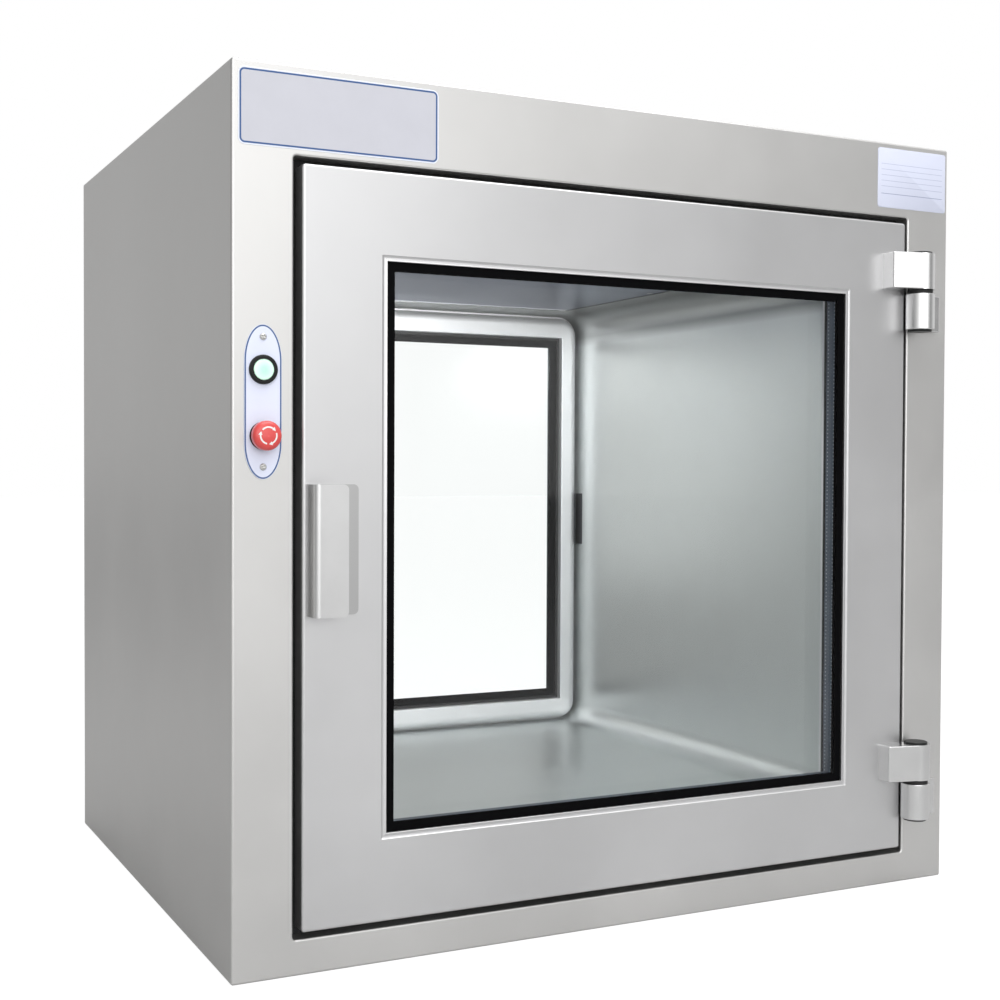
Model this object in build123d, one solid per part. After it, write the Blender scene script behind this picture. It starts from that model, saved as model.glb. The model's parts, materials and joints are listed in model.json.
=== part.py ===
from build123d import *
from math import sqrt
import os

# Cleanroom pass box, in millimetres. +Z is up, the front faces -Y and the rear faces +Y.
# The origin is on the resting plane, under the middle of the cabinet.
# The front and rear hardware are the same pieces turned half round about Z.

# Cabinet
side_border = 58.0             # frame strip beside the door opening
top_border = 81.5
base_border = 33.5
sheet = 1.5                    # folded stainless sheet of the cabinet and the doors
edge_radius = 2.5              # outside of the folded and polished cabinet edges
panel_flange = 20.0            # inward flange along the top and bottom of each side panel
fascia_return = 4.0            # depth of the fascia's own folded rim

# Chamber
chamber_width = 600.0
chamber_height = 600.0
chamber_clear_depth = 600.0    # between the two closed doors
cove_radius = 28.0
liner_sheet = 2.0

# Door opening in each frame
land_width = 60.0              # sealing land beside the chamber mouth
land_height = 57.5             # sealing land above and below it
opening_radius = 3.0
landing_depth = 20.0           # from the cabinet face to the sealing land
plug_reach = 16.0              # how far the closed door's pan stands past the land

# Doors
door_gap = 7.0
door_proud = 4.6
door_corner_radius = 3.0
door_edge_radius = 2.5
gasket_height = 3.5
gasket_width = 12.0
gasket_clearance = 0.3
plug_gap = 3.0                 # between the inner pan and the chamber mouth
plug_edge_radius = 12.0
pan_fit = 0.2

# Windows
door_rail = 83.0               # from the edge of the door to the window
window_bevel_width = 5.0
window_bevel_depth = 2.0
pane_overlap = 10.0
pane_thickness = 5.0
spacer_depth = 16.0
spacer_width = 10.0
spacer_inset = 6.5             # spacer's inner face, inside the edge of the window
seal_thickness = 2.0
seal_reach = 4.0
return_radius = 1.2

# Pull handles
handle_height = 120.0
handle_base_width = 50.0
handle_lip_width = 32.0
handle_standoff = 26.0
handle_sheet = 3.0
handle_bend = 5.0
handle_corner = 5.0
handle_edge_distance = 3.3

# Lift-off hinges
hinge_height = 84.0
hinge_end_distance = 77.3      # from the end of the door to the hinge's middle
hinge_radius = 16.0
hinge_face_clearance = 0.5
hinge_axis_overhang = 11.5     # hinge axis beyond the edge of the door
hinge_split = 4.5
hinge_edge_radius = 1.0
door_leaf_reach = 43.2         # from the hinge axis to the leaf's free end
door_leaf_thickness = 18.0
frame_leaf_reach = 37.4
frame_leaf_thickness = 8.0
leaf_corner = 2.5
pin_radius = 5.0
pin_fit = 0.06
pin_recess = 8.0
washer_radius = 13.6
washer_clearance = 0.2
cap_radius = 13.0
cap_thickness = 2.2
cap_spigot = 5.0

# Magnetic shear locks
lock_height = 75.0
magnet_width = 30.0
magnet_depth = 21.0
magnet_setback = 5.0           # magnet's outer end, inside the sealing land
armature_width = 10.0
armature_stand = 0.5
armature_setback = 3.5         # armature's inner end, short of the pan's face
lock_fit = 0.2

# Control panels
plate_width = 35.0
plate_height = 139.0
plate_straight = 73.0
plate_thickness = 1.0
plate_rise = 134.0             # plate's middle above the middle of the door
button_rise = 29.0
estop_drop = 30.5
plate_screw_spacing = 117.0
control_radius = 11.0          # barrel of a 22 mm control
control_fit = 0.15
barrel_length = 28.0
ring_nut_radius = 14.0
ring_nut_thickness = 4.0
bezel_radius = 13.3
bezel_height = 3.2
lens_radius = 9.5
lens_depth = 7.0
lens_setback = 0.3             # lens rim behind the bezel's face
lens_chamfer = 0.6
lens_rise = 0.6
stop_clearance = 0.5
button_travel = 2.5
stem_radius = 3.9
running_fit = 0.08
collar_radius = 12.6
collar_height = 1.2
collar_neck_radius = 10.0
collar_neck_height = 3.2
estop_travel = 5.0
estop_clearance = 0.6
estop_head_radius = 13.3
estop_head_height = 10.4
estop_skirt_clearance = 0.4
estop_recess_radius = 10.9
estop_shaft_radius = 6.0
estop_spindle_radius = 4.0
contact_block_width = 28.0
contact_block_height = 38.0
contact_block_depth = 36.0
screw_radius = 1.5
screw_head_radius = 3.25
screw_head_height = 1.8
screw_length = 8.0

# Ceiling access panel
access_side_border = 59.0      # chamber ceiling left beside the panel's opening
access_end_border = 79.5
access_gap = 2.0
access_ledge = 15.0
access_ledge_outside = 9.0
access_sheet = 1.5
access_screw_radius = 2.0
access_screw_inset = 6.5
access_screw_length = 7.0

# Inner supports and electrical parts
rail_width = 40.0
rail_spacing = 400.0
rail_setback = 14.5
stiffener_width = 80.0
stiffener_depth = 20.0
stiffener_spacing = 300.0
stiffener_end = 65.0
din_length = 360.0
din_width = 35.0
din_height = 7.5
bracket_drop = 21.0
bracket_width = 20.0
bracket_spacing = 300.0
supply_size = (72.0, 90.0, 55.0)
controller_size = (105.0, 90.0, 58.0)
terminal_size = (66.0, 50.0, 42.0)
device_gap = 12.0
gland_x = 250.0
gland_y = 150.0
gland_thread_radius = 10.0
gland_hex = 13.8
gland_collar = 5.0
gland_dome = 13.0
gland_tail = 15.0
gland_bore_radius = 4.0
gland_nut_hex = 15.5
gland_nut_thickness = 5.0

# Derived sizes and places
opening_width = chamber_width + 2 * land_width
opening_height = chamber_height + 2 * land_height
cabinet_width = opening_width + 2 * side_border
cabinet_height = base_border + opening_height + top_border
cabinet_depth = chamber_clear_depth + 2 * (landing_depth + plug_reach)
chamber_floor = base_border + land_height
half_width = cabinet_width / 2
face = -cabinet_depth / 2                            # front face of the cabinet
land = face + landing_depth                          # sealing land of the front frame
chamber_centre = chamber_floor + chamber_height / 2  # every door and window shares this height
chamber_top = chamber_floor + chamber_height
liner_top = chamber_top + liner_sheet
door_width = opening_width - 2 * door_gap
door_height = opening_height - 2 * door_gap
door_face = face - door_proud
flange_face = land - gasket_clearance - gasket_height
plug_face = land + plug_reach
plug_width = chamber_width - 2 * plug_gap
plug_height = chamber_height - 2 * plug_gap
plug_radius = cove_radius - plug_gap
window_width = door_width - 2 * door_rail
window_height = door_height - 2 * door_rail
pane_face = door_face + window_bevel_depth + sheet
spacer_face = pane_face + pane_thickness
inner_pane_face = spacer_face + spacer_depth
seal_face = inner_pane_face + pane_thickness
return_end = seal_face + seal_thickness
pane_width = window_width + 2 * pane_overlap
pane_height = window_height + 2 * pane_overlap
hinge_x = door_width / 2 + hinge_axis_overhang
hinge_y = face - hinge_radius - hinge_face_clearance
control_x = -half_width + side_border / 2
plate_centre = chamber_centre + plate_rise
plate_face = face - plate_thickness
button_z = plate_centre + button_rise
estop_z = plate_centre - estop_drop
liner_end = -(land + sheet)
rail_length = 2 * (liner_end - rail_setback)
access_width = chamber_width - 2 * access_side_border
access_depth = 2 * (liner_end - access_end_border)
stiffener_height = cabinet_height - 2 * stiffener_end
hinge_spacing = door_height - 2 * hinge_end_distance


def block(x0, x1, y0, y1, z0, z1):
    return Pos((x0 + x1) / 2, (y0 + y1) / 2, (z0 + z1) / 2) * Box(x1 - x0, y1 - y0, z1 - z0)


def slab(width, height, radius, y0, y1, z=chamber_centre):
    outline = RectangleRounded(width, height, radius) if radius else Rectangle(width, height)
    return Pos(0, y1, z) * extrude(Plane.XZ * outline, y1 - y0)


def ring(width, height, radius, wall, y0, y1):
    inner_radius = max(radius - wall, 0)
    return slab(width, height, radius, y0, y1) - slab(width - 2 * wall, height - 2 * wall,
                                                      inner_radius, y0, y1)


def turned(points, x, z):
    """A piece turned about an axis along Y, from (radius, y) points."""
    profile = make_face(Polyline(*points, close=True))
    return Pos(x, 0, z) * revolve(profile, Axis.Y)


def cylinder_z(radius, z0, z1, x=0.0, y=0.0):
    return Pos(x, y, (z0 + z1) / 2) * Cylinder(radius, z1 - z0)


def edges_near(part, axis, value, tolerance=0.01):
    """Edges that lie wholly at one height along an axis."""
    def inside(edge):
        box = edge.bounding_box()
        low, high = getattr(box.min, axis), getattr(box.max, axis)
        return abs(low - value) < tolerance and abs(high - value) < tolerance
    return [edge for edge in part.edges() if inside(edge)]


def turned_round(part):
    return Rot(0, 0, 180) * part


def group(parts):
    return Compound(children=[solid for part in parts for solid in part.solids()])


# Cabinet shell

def side_panel(side):
    outer = block(-half_width, -half_width + panel_flange,
                  face + fascia_return, -face - fascia_return, 0, cabinet_height)
    bends = [e for e in outer.edges().filter_by(Axis.Y) if e.center().X < -half_width + 0.01]
    outer = fillet(bends, edge_radius)
    inner = block(-half_width + sheet, -half_width + panel_flange + 1,
                  face, -face, sheet, cabinet_height - sheet)
    panel = outer - inner
    return panel if side == "left" else turned_round(panel)


def cover_plate(z0):
    reach = half_width - panel_flange
    return block(-reach, reach, face + fascia_return, -face - fascia_return, z0, z0 + sheet)


def top_panel():
    hole = cylinder_z(gland_thread_radius + control_fit, cabinet_height - 2 * sheet,
                      cabinet_height + sheet, gland_x, gland_y)
    return cover_plate(cabinet_height - sheet) - hole


def control_holes(y0, y1):
    """Cutters for the two control barrels and the two plate screws."""
    cutters = []
    for z in (button_z, estop_z):
        radius = control_radius + control_fit
        cutters.append(Pos(control_x, (y0 + y1) / 2, z) * Rot(90, 0, 0) * Cylinder(radius, y1 - y0))
    for z in (plate_centre - plate_screw_spacing / 2, plate_centre + plate_screw_spacing / 2):
        cutters.append(Pos(control_x, (y0 + y1) / 2, z) * Rot(90, 0, 0) * Cylinder(screw_radius, y1 - y0))
    return cutters


def frame():
    middle = cabinet_height / 2
    rim = slab(cabinet_width, cabinet_height, edge_radius, face, face + fascia_return, middle)
    rim = fillet(edges_near(rim, "Y", face), edge_radius - 0.1)
    rim -= slab(cabinet_width - 2 * sheet, cabinet_height - 2 * sheet, 1.0,
                face + sheet, face + fascia_return, middle)
    well = slab(opening_width + 2 * sheet, opening_height + 2 * sheet, opening_radius + sheet,
                face, land + sheet)
    body = rim + well
    body -= slab(opening_width, opening_height, opening_radius, face, land)
    body -= slab(chamber_width, chamber_height, cove_radius, land, land + sheet)
    edge = [e for e in edges_near(body, "Y", face)
            if abs(e.center().X) < opening_width / 2 + 1
            and abs(e.center().Z - chamber_centre) < opening_height / 2 + 1]
    body = fillet(edge, edge_radius - 0.5)
    for cutter in control_holes(face - 1, face + fascia_return):
        body -= cutter
    return body


def chamber_liner():
    tube = ring(chamber_width + 2 * liner_sheet, chamber_height + 2 * liner_sheet,
                cove_radius + liner_sheet, liner_sheet, -liner_end, liner_end)
    reach_x, reach_y = access_width / 2, access_depth / 2
    outside, inside = access_ledge_outside, access_ledge
    tube -= block(-reach_x, reach_x, -reach_y, reach_y, chamber_top - 1, liner_top + 1)
    ledge = block(-reach_x - outside, reach_x + outside, -reach_y - outside, reach_y + outside,
                  liner_top, liner_top + liner_sheet)
    ledge -= block(-reach_x + inside, reach_x - inside, -reach_y + inside, reach_y - inside,
                   liner_top, liner_top + liner_sheet)
    tube += ledge
    for x, y in access_screw_places():
        tube -= cylinder_z(access_screw_radius, liner_top - 1, liner_top + liner_sheet + 1, x, y)
    pocket = lock_magnet_block(lock_fit)
    return tube - pocket - turned_round(pocket)


# Ceiling access panel

def access_screw_places():
    x = access_width / 2 - access_gap - access_screw_inset
    y = access_depth / 2 - access_gap - access_screw_inset
    return [(i * x, j * y) for i in (-1, 0, 1) for j in (-1, 0, 1) if (i, j) != (0, 0)]


def ceiling_panel():
    x = access_width / 2 - access_gap
    y = access_depth / 2 - access_gap
    panel = block(-x, x, -y, y, liner_top - access_sheet, liner_top)
    for sx, sy in access_screw_places():
        panel -= access_screw(sx, sy)
    return panel


def access_screw(x, y):
    low = liner_top - access_sheet
    cone = Cone(2 * access_screw_radius, access_screw_radius, access_sheet)
    head = Pos(x, y, low + access_sheet / 2) * cone
    return head + cylinder_z(access_screw_radius, low, low + access_screw_length, x, y)


# Locks

def lock_magnet_block(clearance=0.0):
    wall = -chamber_width / 2
    y0 = land + magnet_setback
    return block(wall - magnet_width - clearance, wall + (1 if clearance else 0),
                 y0 - clearance, y0 + magnet_depth + clearance,
                 chamber_centre - lock_height / 2 - clearance, chamber_centre + lock_height / 2 + clearance)


def armature_block(clearance=0.0):
    x0 = -plug_width / 2 - armature_stand
    return block(x0 - clearance, x0 + armature_width + clearance,
                 flange_face - sheet, plug_face - armature_setback + clearance,
                 chamber_centre - lock_height / 2 - clearance, chamber_centre + lock_height / 2 + clearance)


def armature():
    plate = armature_block()
    corner = [e for e in plate.edges().filter_by(Axis.Z) if e.center().Y > plug_face - 2 * armature_setback]
    return fillet(corner, 1.5)


# Door

def door_skin():
    tray = slab(door_width, door_height, door_corner_radius, door_face, flange_face)
    tray = fillet(edges_near(tray, "Y", door_face), door_edge_radius)
    tray -= slab(door_width - 2 * sheet, door_height - 2 * sheet, door_corner_radius - sheet,
                 door_face + sheet, flange_face)
    wide = 2 * (window_bevel_width + 2 * sheet)
    tray += slab(window_width + wide, window_height + wide, 0, door_face + sheet / 2, pane_face)
    at = Pos(0, 0, chamber_centre) * Plane.XZ
    bevel = loft([Pos(0, door_face, 0) * at * Rectangle(window_width + 2 * window_bevel_width,
                                                        window_height + 2 * window_bevel_width),
                  Pos(0, door_face + window_bevel_depth, 0) * at * Rectangle(window_width, window_height)])
    return tray - bevel - slab(window_width, window_height, 0, door_face, pane_face)


def door_pan():
    flange = slab(door_width - 2 * sheet - 2 * pan_fit, door_height - 2 * sheet - 2 * pan_fit,
                  door_corner_radius - sheet, flange_face - sheet, flange_face)
    plug = slab(plug_width, plug_height, plug_radius, flange_face - sheet, plug_face)
    plug = fillet(edges_near(plug, "Y", plug_face), plug_edge_radius)
    hollow = slab(plug_width - 2 * sheet, plug_height - 2 * sheet, plug_radius - sheet,
                  flange_face - sheet, plug_face - sheet)
    hollow = fillet(edges_near(hollow, "Y", plug_face - sheet), plug_edge_radius - sheet)
    pan = flange + plug - hollow
    pan += slab(window_width + 2 * sheet, window_height + 2 * sheet, 0, return_end, plug_face - sheet / 2)
    pan -= slab(window_width, window_height, 0, flange_face - 1, plug_face + 1)
    rim = [e for e in edges_near(pan, "Y", plug_face)
           if abs(e.center().X) < window_width / 2 + 1
           and abs(e.center().Z - chamber_centre) < window_height / 2 + 1]
    pan = fillet(rim, return_radius)
    return pan - armature_block(lock_fit)


def window_pane(y0):
    pane = slab(pane_width, pane_height, 0, y0, y0 + pane_thickness)
    return chamfer(pane.edges().filter_by(Axis.Y), 1.0)


def window_spacer():
    inset = 2 * (spacer_inset - spacer_width)
    return ring(window_width - inset, window_height - inset, 0, spacer_width, spacer_face, inner_pane_face)


def window_seal():
    return ring(window_width + 2 * sheet + seal_reach, window_height + 2 * sheet + seal_reach, 0,
                sheet + 1.5 * seal_reach, seal_face, return_end)


def door_gasket():
    middle = (plug_width + door_width) / 2 + gasket_width
    tall = (plug_height + door_height) / 2 + gasket_width
    seal = ring(middle, tall, plug_radius + gasket_width, gasket_width,
                flange_face, flange_face + gasket_height)
    return fillet(edges_near(seal, "Y", flange_face + gasket_height), gasket_height * 0.4)


def handle():
    left = -door_width / 2 + handle_edge_distance
    front = door_face - handle_standoff
    top, low = chamber_centre + handle_height / 2, chamber_centre - handle_height / 2
    outer = block(left, left + handle_base_width, front, door_face, low, top)
    bend = [e for e in outer.edges().filter_by(Axis.Z)
            if e.center().X < left + 1 and e.center().Y < front + 1]
    outer = fillet(bend, handle_bend)
    gap = block(left + handle_sheet, left + handle_base_width + 1,
                front + handle_sheet, door_face - handle_sheet, low - 1, top + 1)
    inner = [e for e in gap.edges().filter_by(Axis.Z) if e.center().X < left + handle_sheet + 1]
    gap = fillet(inner, handle_bend - handle_sheet)
    body = outer - gap - block(left + handle_lip_width, left + handle_base_width + 1,
                               front - 1, front + handle_sheet + 1, low - 1, top + 1)
    corners = [e for e in body.edges().filter_by(Axis.Y)
               if abs(e.length - handle_sheet) < 0.01 and e.center().X > left + handle_sheet]
    return fillet(corners, handle_corner)


# Hinges, one pair for each door

def hinge_centres():
    return [chamber_centre - hinge_spacing / 2, chamber_centre + hinge_spacing / 2]


def leaf_outline(reach, thickness, seat, root):
    """Leaf from the barrel to its free end, with its back on the seat and its front starting at root."""
    outer = seat - thickness
    end = hinge_x + reach
    outline = make_face(Polyline((hinge_x, root), (end, outer), (end, seat), (hinge_x, seat), close=True))
    corner = [v for v in outline.vertices() if abs(v.X - end) < 0.01 and v.Y < seat - 1]
    return fillet(corner, leaf_corner)


def knuckle(reach, thickness, seat, root, z0, z1, bore):
    barrel = Pos(hinge_x, hinge_y) * Circle(hinge_radius)
    behind = Pos(hinge_x, seat + hinge_radius) * Rectangle(4 * hinge_radius, 2 * hinge_radius)
    body = Pos(0, 0, z0) * extrude(leaf_outline(reach, thickness, seat, root) + (barrel - behind), z1 - z0)
    front = [e for e in edges_near(body, "Z", z0) + edges_near(body, "Z", z1)
             if e.bounding_box().max.Y < seat - 0.01]
    body = fillet(front, hinge_edge_radius)
    return body - cylinder_z(bore, z0 - 1, z1 + 1, hinge_x, hinge_y)


def hinge_door_leaves():
    """The leaf runs off the front of the barrel."""
    return group([knuckle(-door_leaf_reach, door_leaf_thickness, door_face, hinge_y - hinge_radius,
                          z + hinge_split / 2, z + hinge_height / 2, pin_radius + pin_fit)
                  for z in hinge_centres()])


def hinge_frame_leaves():
    return group([knuckle(frame_leaf_reach, frame_leaf_thickness, face, face - frame_leaf_thickness,
                          z - hinge_height / 2, z - hinge_split / 2, pin_radius) for z in hinge_centres()])


def hinge_pins():
    return [cylinder_z(pin_radius, z - hinge_height / 2 + cap_spigot, z + hinge_height / 2 - pin_recess,
                       hinge_x, hinge_y) for z in hinge_centres()]


def hinge_washers():
    half = hinge_split / 2
    return [cylinder_z(washer_radius, z - half, z + half - washer_clearance, hinge_x, hinge_y)
            - cylinder_z(pin_radius, z - half, z + half, hinge_x, hinge_y) for z in hinge_centres()]


def hinge_caps(upper):
    caps = []
    for z in hinge_centres():
        way = 1 if upper else -1
        end = z + way * hinge_height / 2
        plate = Pos(hinge_x, hinge_y, end + way * cap_thickness / 2) * Cylinder(cap_radius, cap_thickness)
        rim = edges_near(plate, "Z", end + way * cap_thickness)
        plate = fillet(rim, cap_thickness * 0.5)
        spigot = Pos(hinge_x, hinge_y, end - way * cap_spigot / 2) * Cylinder(pin_radius, cap_spigot)
        caps.append(plate + spigot)
    return caps


# Control panels

def plate_outline():
    """Straight sides with a half ellipse on each end."""
    bulge = (plate_height - plate_straight) / 2
    middle = Rectangle(plate_width, plate_straight)
    ends = [Pos(0, way * plate_straight / 2) * Ellipse(plate_width / 2, bulge) for way in (-1, 1)]
    return middle + ends[0] + ends[1]


def control_plate():
    plate = Pos(control_x, face, plate_centre) * extrude(Plane.XZ * plate_outline(), plate_thickness)
    for cutter in control_holes(plate_face - 1, face + 1):
        plate -= cutter
    return plate


def plate_screws():
    tip = plate_face + screw_length
    head = plate_face - screw_head_height
    profile = [(0, tip), (screw_radius, tip), (screw_radius, plate_face), (screw_head_radius, plate_face),
               (screw_head_radius, plate_face - 0.6), (screw_head_radius * 0.62, head), (0, head)]
    return [turned(profile, control_x, plate_centre + way * plate_screw_spacing / 2) for way in (-1, 1)]


def ring_nuts():
    nuts = []
    for z in (button_z, estop_z):
        y0 = face + sheet
        y1 = y0 + ring_nut_thickness
        nuts.append(turned([(control_radius, y0), (ring_nut_radius, y0), (ring_nut_radius, y1),
                            (control_radius, y1)], control_x, z))
    return nuts


def contact_blocks():
    y0 = face + barrel_length
    blocks = []
    for z in (button_z, estop_z):
        body = block(control_x - contact_block_width / 2, control_x + contact_block_width / 2, y0,
                     y0 + contact_block_depth, z - contact_block_height / 2, z + contact_block_height / 2)
        blocks.append(chamfer(edges_near(body, "Y", y0 + contact_block_depth), 2.0))
    return blocks


def button_body():
    """Bezel and threaded barrel, with a stepped bore for the lens and its stem."""
    front = plate_face - bezel_height
    floor = front + lens_setback + lens_depth + button_travel + stop_clearance
    end = face + barrel_length
    lens_bore, stem_bore = lens_radius + running_fit, stem_radius + running_fit
    return turned([(lens_bore, front), (bezel_radius - 1.4, front), (bezel_radius - 0.4, front + 0.5),
                   (bezel_radius, front + 1.5), (bezel_radius, plate_face), (control_radius, plate_face),
                   (control_radius, end), (stem_bore, end), (stem_bore, floor), (lens_bore, floor)],
                  control_x, button_z)


def cap_arc(radius, edge, rise):
    """Outline of a shallow cap that stands out towards -Y, with its centre on the axis."""
    ball = (radius ** 2 + rise ** 2) / (2 * rise)
    middle = edge - rise + ball - sqrt(ball ** 2 - radius ** 2 / 4)
    return ThreePointArc((radius, edge), (radius / 2, middle), (0, edge - rise))


def button_lens():
    front = plate_face - bezel_height + lens_setback
    back = front + lens_depth
    tip = face + barrel_length - button_travel - stop_clearance
    flat = lens_radius - lens_chamfer
    profile = make_face(Polyline((0, tip), (stem_radius, tip), (stem_radius, back), (lens_radius, back),
                                 (lens_radius, front + lens_chamfer), (flat, front)) +
                        cap_arc(flat, front, lens_rise) + Line((0, front - lens_rise), (0, tip)))
    return Pos(control_x, 0, button_z) * revolve(profile, Axis.Y)


def estop_collar():
    front = plate_face - collar_height
    neck = plate_face - collar_neck_height
    end = face + barrel_length
    bore = estop_shaft_radius + running_fit
    return turned([(bore, neck), (collar_neck_radius, neck), (collar_neck_radius, front),
                   (collar_radius - 0.4, front), (collar_radius, front + 0.4), (collar_radius, plate_face),
                   (control_radius, plate_face), (control_radius, end), (bore, end)], control_x, estop_z)


def estop_seat():
    """Where the mushroom head sits on its stem, at rest."""
    return plate_face - collar_neck_height - estop_travel - estop_clearance


def estop_skirt():
    """Back edge of the head's skirt at rest. Pushed in, it stops short of the collar."""
    return plate_face - collar_height - estop_travel - estop_skirt_clearance


def estop_plunger():
    shoulder = estop_seat() + 0.2
    tip = estop_seat() - estop_head_height * 0.5
    end = face + barrel_length - estop_travel - estop_clearance
    return turned([(0, tip), (estop_spindle_radius, tip), (estop_spindle_radius, shoulder),
                   (estop_shaft_radius, shoulder), (estop_shaft_radius, end), (0, end)], control_x, estop_z)


def estop_head():
    seat = estop_seat()
    skirt = estop_skirt()
    bore = estop_spindle_radius + running_fit
    bore_end = seat - estop_head_height * 0.5 - 0.3
    top = skirt - estop_head_height
    rim = estop_head_radius
    outline = (Polyline((0, bore_end), (bore, bore_end), (bore, seat), (estop_recess_radius, seat),
                        (estop_recess_radius, skirt), (rim - 0.6, skirt), (rim, skirt - 0.6),
                        (rim, skirt - 4.0)) +
               ThreePointArc((rim, skirt - 4.0), (rim - 0.9, top + 2.4), (rim - 3.4, top + 0.7)) +
               cap_arc(rim - 3.4, top + 0.7, 0.7) + Line((0, top), (0, bore_end)))
    return Pos(control_x, 0, estop_z) * revolve(make_face(outline), Axis.Y)


# Supports and electrical parts inside the shell

def support_rails():
    rails = []
    for way in (-1, 1):
        x = way * rail_spacing / 2
        outer = block(x - rail_width / 2, x + rail_width / 2, -rail_length / 2, rail_length / 2,
                      sheet, chamber_floor - liner_sheet)
        inner = block(x - rail_width / 2 + way * liner_sheet, x + rail_width / 2 + way * liner_sheet,
                      -rail_length / 2, rail_length / 2, sheet + liner_sheet, chamber_floor - 2 * liner_sheet)
        rails.append(outer - inner)
    return group(rails)


def stiffeners():
    hats = []
    wall = -half_width + sheet
    z0 = (cabinet_height - stiffener_height) / 2
    for way in (-1, 1):
        y = way * stiffener_spacing / 2
        body = block(wall, wall + stiffener_depth, y - stiffener_width / 4, y + stiffener_width / 4,
                     z0, z0 + stiffener_height)
        body += block(wall, wall + sheet, y - stiffener_width / 2, y + stiffener_width / 2,
                      z0, z0 + stiffener_height)
        body -= block(wall, wall + stiffener_depth - sheet, y - stiffener_width / 4 + sheet,
                      y + stiffener_width / 4 - sheet, z0, z0 + stiffener_height)
        hats.append(body)
    return hats


def din_rail():
    """Top-hat rail on two brackets under the top panel, with its open side down."""
    high = cabinet_height - sheet - bracket_drop
    low = high - din_height
    rail = block(-din_length / 2, din_length / 2, -din_width / 2, din_width / 2, low, low + 1)
    rail -= block(-din_length / 2, din_length / 2, -din_width / 2 + 5, din_width / 2 - 5, low, low + 1)
    trough = block(-din_length / 2, din_length / 2, -din_width / 2 + 4, din_width / 2 - 4, low, high)
    trough -= block(-din_length / 2, din_length / 2, -din_width / 2 + 5, din_width / 2 - 5, low, high - 1)
    rail += trough
    for way in (-1, 1):
        x = way * bracket_spacing / 2
        rail += block(x - bracket_width / 2, x + bracket_width / 2, -din_width / 3, din_width / 3,
                      high, cabinet_height - sheet)
    return rail


def rail_device(x, size, step):
    """Housing that clips under the rail, with a stepped terminal shoulder on each side."""
    width, depth, height = size
    high = cabinet_height - sheet - bracket_drop - din_height
    body = block(x - width / 2, x + width / 2, -depth / 2, depth / 2, high - height * step, high)
    body += block(x - width / 2, x + width / 2, -depth / 4, depth / 4, high - height, high)
    return chamfer(edges_near(body, "Z", high - height), 1.5)


def device_places():
    widths = [supply_size[0], controller_size[0], terminal_size[0]]
    total = sum(widths) + 2 * device_gap
    starts = [sum(widths[:i]) + i * device_gap - total / 2 for i in range(len(widths))]
    return [start + width / 2 for start, width in zip(starts, widths)]


def hexagon(radius, z0, z1):
    return Pos(gland_x, gland_y, z0) * extrude(RegularPolygon(radius, 6), z1 - z0)


def cable_gland():
    top = cabinet_height
    body = cylinder_z(gland_thread_radius, top - gland_tail, top, gland_x, gland_y)
    body += hexagon(gland_hex, top, top + gland_collar)
    shoulder = top + gland_collar
    body += cylinder_z(gland_thread_radius + 1, shoulder, shoulder + 1.5, gland_x, gland_y)
    dome = hexagon(gland_hex, top + gland_collar + 1.5, top + gland_collar + gland_dome)
    body += chamfer(edges_near(dome, "Z", top + gland_collar + gland_dome), 2.5)
    return body - cylinder_z(gland_bore_radius, top - gland_tail - 1, top + gland_collar + gland_dome + 1,
                             gland_x, gland_y)


def gland_nut():
    top = cabinet_height - sheet
    return hexagon(gland_nut_hex, top - gland_nut_thickness, top) - cylinder_z(
        gland_thread_radius, top - gland_nut_thickness, top, gland_x, gland_y)


front_pieces = {
    "frame": frame(),
    "lock_magnet": lock_magnet_block(),
    "hinge_frame_leaves": hinge_frame_leaves(),
    "control_plate": control_plate(),
    "button_body": button_body(),
    "button_lens": button_lens(),
    "estop_collar": estop_collar(),
    "estop_plunger": estop_plunger(),
    "estop_head": estop_head(),
    "door_skin": door_skin(),
    "door_pan": door_pan(),
    "outer_pane": window_pane(pane_face),
    "window_spacer": window_spacer(),
    "inner_pane": window_pane(inner_pane_face),
    "window_seal": window_seal(),
    "door_gasket": door_gasket(),
    "door_handle": handle(),
    "door_armature": armature(),
    "hinge_door_leaves": hinge_door_leaves(),
    "hinge_caps": group(hinge_caps(True)),
}

shared_pieces = {
    "hinge_pins": hinge_pins(),
    "hinge_washers": hinge_washers(),
    "hinge_lower_caps": hinge_caps(False),
    "control_plate_screws": plate_screws(),
    "contact_blocks": contact_blocks(),
    "panel_stiffeners": stiffeners(),
}

supply_x, controller_x, terminal_x = device_places()
pieces = {
    "left_side_panel": side_panel("left"),
    "right_side_panel": side_panel("right"),
    "top_panel": top_panel(),
    "base_panel": cover_plate(0),
    "chamber_liner": chamber_liner(),
    "ceiling_panel": ceiling_panel(),
    "ceiling_panel_screws": group([access_screw(x, y) for x, y in access_screw_places()]),
    "chamber_support_rails": support_rails(),
    "din_rail": din_rail(),
    "power_supply": rail_device(supply_x, supply_size, 0.75),
    "interlock_controller": rail_device(controller_x, controller_size, 0.7),
    "terminal_block": rail_device(terminal_x, terminal_size, 0.6),
    "cable_gland": cable_gland(),
    "panel_nuts": group(ring_nuts() + [turned_round(nut) for nut in ring_nuts()] + [gland_nut()]),
}
for name, piece in front_pieces.items():
    pieces["front_" + name] = piece
    pieces["rear_" + name] = turned_round(piece)
for name, copies in shared_pieces.items():
    pieces[name] = group(copies + [turned_round(copy) for copy in copies])

os.makedirs("parts", exist_ok=True)
for name, piece in pieces.items():
    export_step(piece, f"parts/{name}.step")
print(len(pieces), "nodes")
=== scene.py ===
import json
import math

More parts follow.
